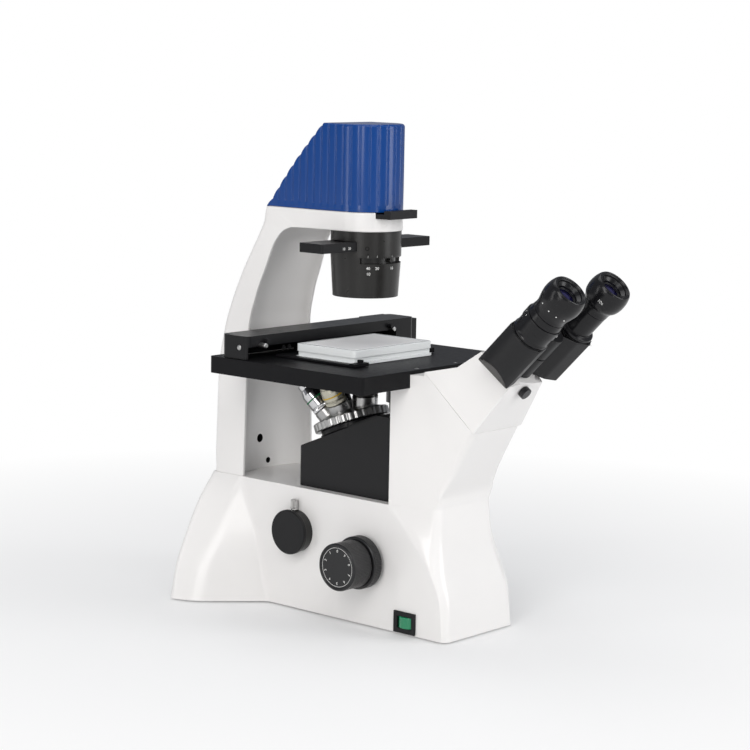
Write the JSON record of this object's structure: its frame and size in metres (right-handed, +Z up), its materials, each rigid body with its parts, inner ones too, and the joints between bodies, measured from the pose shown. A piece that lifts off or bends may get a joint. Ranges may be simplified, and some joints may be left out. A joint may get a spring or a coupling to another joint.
{
  "type": "inverted microscope",
  "caption": "Inverted biological microscope with a rear arm lamp, long condenser, mechanical stage holding a well plate, nosepiece below and a binocular head.",
  "frame": {"origin": "where the vertical optical axis meets the table", "axes": "+Z up, -Y towards the user, +X to the user's right"},
  "size_m": [0.2921, 0.4914, 0.532],
  "materials": {
    "white_paint": "satin enamel",
    "black_paint": "fine satin black",
    "black_plastic": "matt moulded",
    "blue_plastic": "soft gloss moulded",
    "green_plastic": "gloss, lit from inside",
    "clear_plastic": "clear",
    "steel": "brushed",
    "chrome": "polished",
    "brass": "turned",
    "aluminium": "satin turned",
    "rubber": "matt",
    "glass": "coated",
    "silvered": "front silvered",
    "board_green": "lacquered board"
  },
  "bodies": {
    "stand": {"base_casting": "white_paint", "bottom_plate": "black_paint", "cap_screws": "steel", "rubber_feet": "rubber", "rear_arm": "white_paint", "lamp_socket": "black_plastic", "halogen_bulb": "glass", "collector_lens": "glass", "condenser_barrel": "black_paint", "condenser_lens": "glass", "stage_plate": "black_paint", "stage_insert": "black_paint", "stage_bracket": "aluminium", "stage_rail": "steel", "focus_housing": "black_plastic", "focus_guide": "steel", "port_collar": "black_paint", "switch_bezel": "black_plastic", "power_inlet": "black_plastic", "power_board": "board_green", "relay_mirror": "silvered", "mirror_holder": "black_paint", "head_mount": "white_paint", "tube_lens": "glass"},
    "carriage": {"focus_carriage": "black_paint", "focus_rack": "brass"},
    "coarse_drive": {"coarse_shaft": "steel", "coarse_knob_left": "black_plastic", "coarse_knob_right": "black_plastic"},
    "fine_drive": {"fine_knob_left": "black_plastic", "fine_knob_right": "black_plastic"},
    "tension": {"tension_ring": "black_plastic"},
    "nosepiece": {"nosepiece_turret": "aluminium", "objective_4x": "aluminium", "objective_10x": "aluminium", "objective_20x": "aluminium", "objective_40x": "aluminium", "objective_phase_10x": "aluminium"},
    "crossbar": {"cross_carriage": "black_paint"},
    "holder": {"plate_holder": "black_paint", "well_plate": "clear_plastic"},
    "lid": {"well_plate_lid": "clear_plastic"},
    "y_drive": {"stage_y_knob": "black_plastic"},
    "x_drive": {"stage_x_knob": "black_plastic"},
    "slider": {"phase_slider": "black_plastic"},
    "drawer": {"filter_drawer": "black_plastic"},
    "aperture": {"aperture_ring": "black_paint"},
    "rocker": {"power_rocker": "green_plastic"},
    "dial": {"brightness_dial": "black_plastic"},
    "cap": {"port_cap": "black_plastic"},
    "thumbscrew": {"port_screw": "steel"},
    "left_tube": {"left_prism_housing": "black_paint"},
    "right_tube": {"right_prism_housing": "black_paint"},
    "diopter": {"diopter_ring": "black_plastic"},
    "left_ocular": {"left_eyepiece": "black_plastic", "left_eye_lens": "glass"},
    "right_ocular": {"right_eyepiece": "black_plastic", "right_eye_lens": "glass"},
    "cover": {"lamp_cover": "blue_plastic"},
    "lock": {"head_lock_knob": "black_plastic"}
  },
  "joints": [
    {"name": "focus_slide", "type": "slide", "parent": "stand", "child": "carriage", "axis": [0, 0, 1], "range_m": [-0.002, 0.005]},
    {"name": "coarse_spin", "type": "hinge", "parent": "stand", "child": "coarse_drive", "pos_m": [0, -0.059, 0.072], "axis": [1, 0, 0], "range_deg": [-21, 51]},
    {"name": "fine_spin", "type": "hinge", "parent": "stand", "child": "fine_drive", "pos_m": [0, -0.059, 0.072], "axis": [1, 0, 0], "continuous": true},
    {"name": "tension_turn", "type": "hinge", "parent": "stand", "child": "tension", "pos_m": [0.06, -0.059, 0.072], "axis": [1, 0, 0], "range_deg": [0, 60]},
    {"name": "turret_spin", "type": "hinge", "parent": "carriage", "child": "nosepiece", "pos_m": [0, 0, 0.1685], "axis": [0, 0.3827, 0.9239], "continuous": true},
    {"name": "stage_y_travel", "type": "slide", "parent": "stand", "child": "crossbar", "axis": [0, 1, 0], "range_m": [-0.045, 0.03]},
    {"name": "stage_x_travel", "type": "slide", "parent": "crossbar", "child": "holder", "axis": [1, 0, 0], "range_m": [-0.06, 0.06]},
    {"name": "y_knob_turn", "type": "hinge", "parent": "crossbar", "child": "y_drive", "pos_m": [0.1485, 0.076, 0.215], "axis": [0, 0, 1], "range_deg": [-260, 175]},
    {"name": "x_knob_turn", "type": "hinge", "parent": "crossbar", "child": "x_drive", "pos_m": [0.1485, 0.076, 0.192], "axis": [0, 0, 1], "range_deg": [-345, 345]},
    {"name": "lid_lift", "type": "slide", "parent": "holder", "child": "lid", "axis": [0, 0, 1], "range_m": [0, 0.04]},
    {"name": "phase_slide", "type": "slide", "parent": "stand", "child": "slider", "axis": [1, 0, 0], "range_m": [-0.034, 0.034]},
    {"name": "drawer_pull", "type": "slide", "parent": "stand", "child": "drawer", "axis": [0, -1, 0], "range_m": [0, 0.055]},
    {"name": "aperture_turn", "type": "hinge", "parent": "stand", "child": "aperture", "pos_m": [0, 0, 0.387], "axis": [0, 0, 1], "range_deg": [-45, 45]},
    {"name": "rocker_tilt", "type": "hinge", "parent": "stand", "child": "rocker", "pos_m": [-0.0499, -0.1153, 0.0145], "axis": [0, 0, 1], "range_deg": [-8, 8]},
    {"name": "dial_turn", "type": "hinge", "parent": "stand", "child": "dial", "pos_m": [0.058, -0.112, 0.062], "axis": [1, 0, 0], "range_deg": [0, 270]},
    {"name": "port_cap_pull", "type": "slide", "parent": "stand", "child": "cap", "axis": [-1, 0, 0], "range_m": [0, 0.025]},
    {"name": "port_screw_turn", "type": "hinge", "parent": "stand", "child": "thumbscrew", "pos_m": [-0.063, 0.042, 0.118], "axis": [0, 0, 1], "range_deg": [-180, 180]},
    {"name": "left_tube_swing", "type": "hinge", "parent": "stand", "child": "left_tube", "pos_m": [0, -0.16525, 0.24325], "axis": [0, -0.7071, 0.7071], "range_deg": [0, 48]},
    {"name": "right_tube_swing", "type": "hinge", "parent": "stand", "child": "right_tube", "pos_m": [0, -0.16525, 0.24325], "axis": [0, -0.7071, 0.7071], "range_deg": [-48, 0]},
    {"name": "diopter_turn", "type": "hinge", "parent": "left_tube", "child": "diopter", "pos_m": [-0.0375, -0.26778, 0.34578], "axis": [0, -0.7071, 0.7071], "range_deg": [-150, 150]},
    {"name": "left_eyepiece_pull", "type": "slide", "parent": "left_tube", "child": "left_ocular", "axis": [0, -0.7071, 0.7071], "range_m": [0, 0.022]},
    {"name": "right_eyepiece_pull", "type": "slide", "parent": "right_tube", "child": "right_ocular", "axis": [0, -0.7071, 0.7071], "range_m": [0, 0.022]},
    {"name": "lamp_cover_lift", "type": "slide", "parent": "stand", "child": "cover", "axis": [0, 0, 1], "range_m": [0, 0.095]},
    {"name": "head_lock_turn", "type": "hinge", "parent": "stand", "child": "lock", "pos_m": [0, -0.21753, 0.26734], "axis": [0, -0.8207, -0.5713], "range_deg": [-180, 180]}
  ],
  "couplings": [
    {"joint": "coarse_spin", "follows": "focus_slide", "rad_per_m": 175.44},
    {"joint": "y_knob_turn", "follows": "stage_y_travel", "rad_per_m": 100},
    {"joint": "x_knob_turn", "follows": "stage_x_travel", "rad_per_m": 100},
    {"joint": "right_tube_swing", "follows": "left_tube_swing", "ratio": -1}
  ]
}
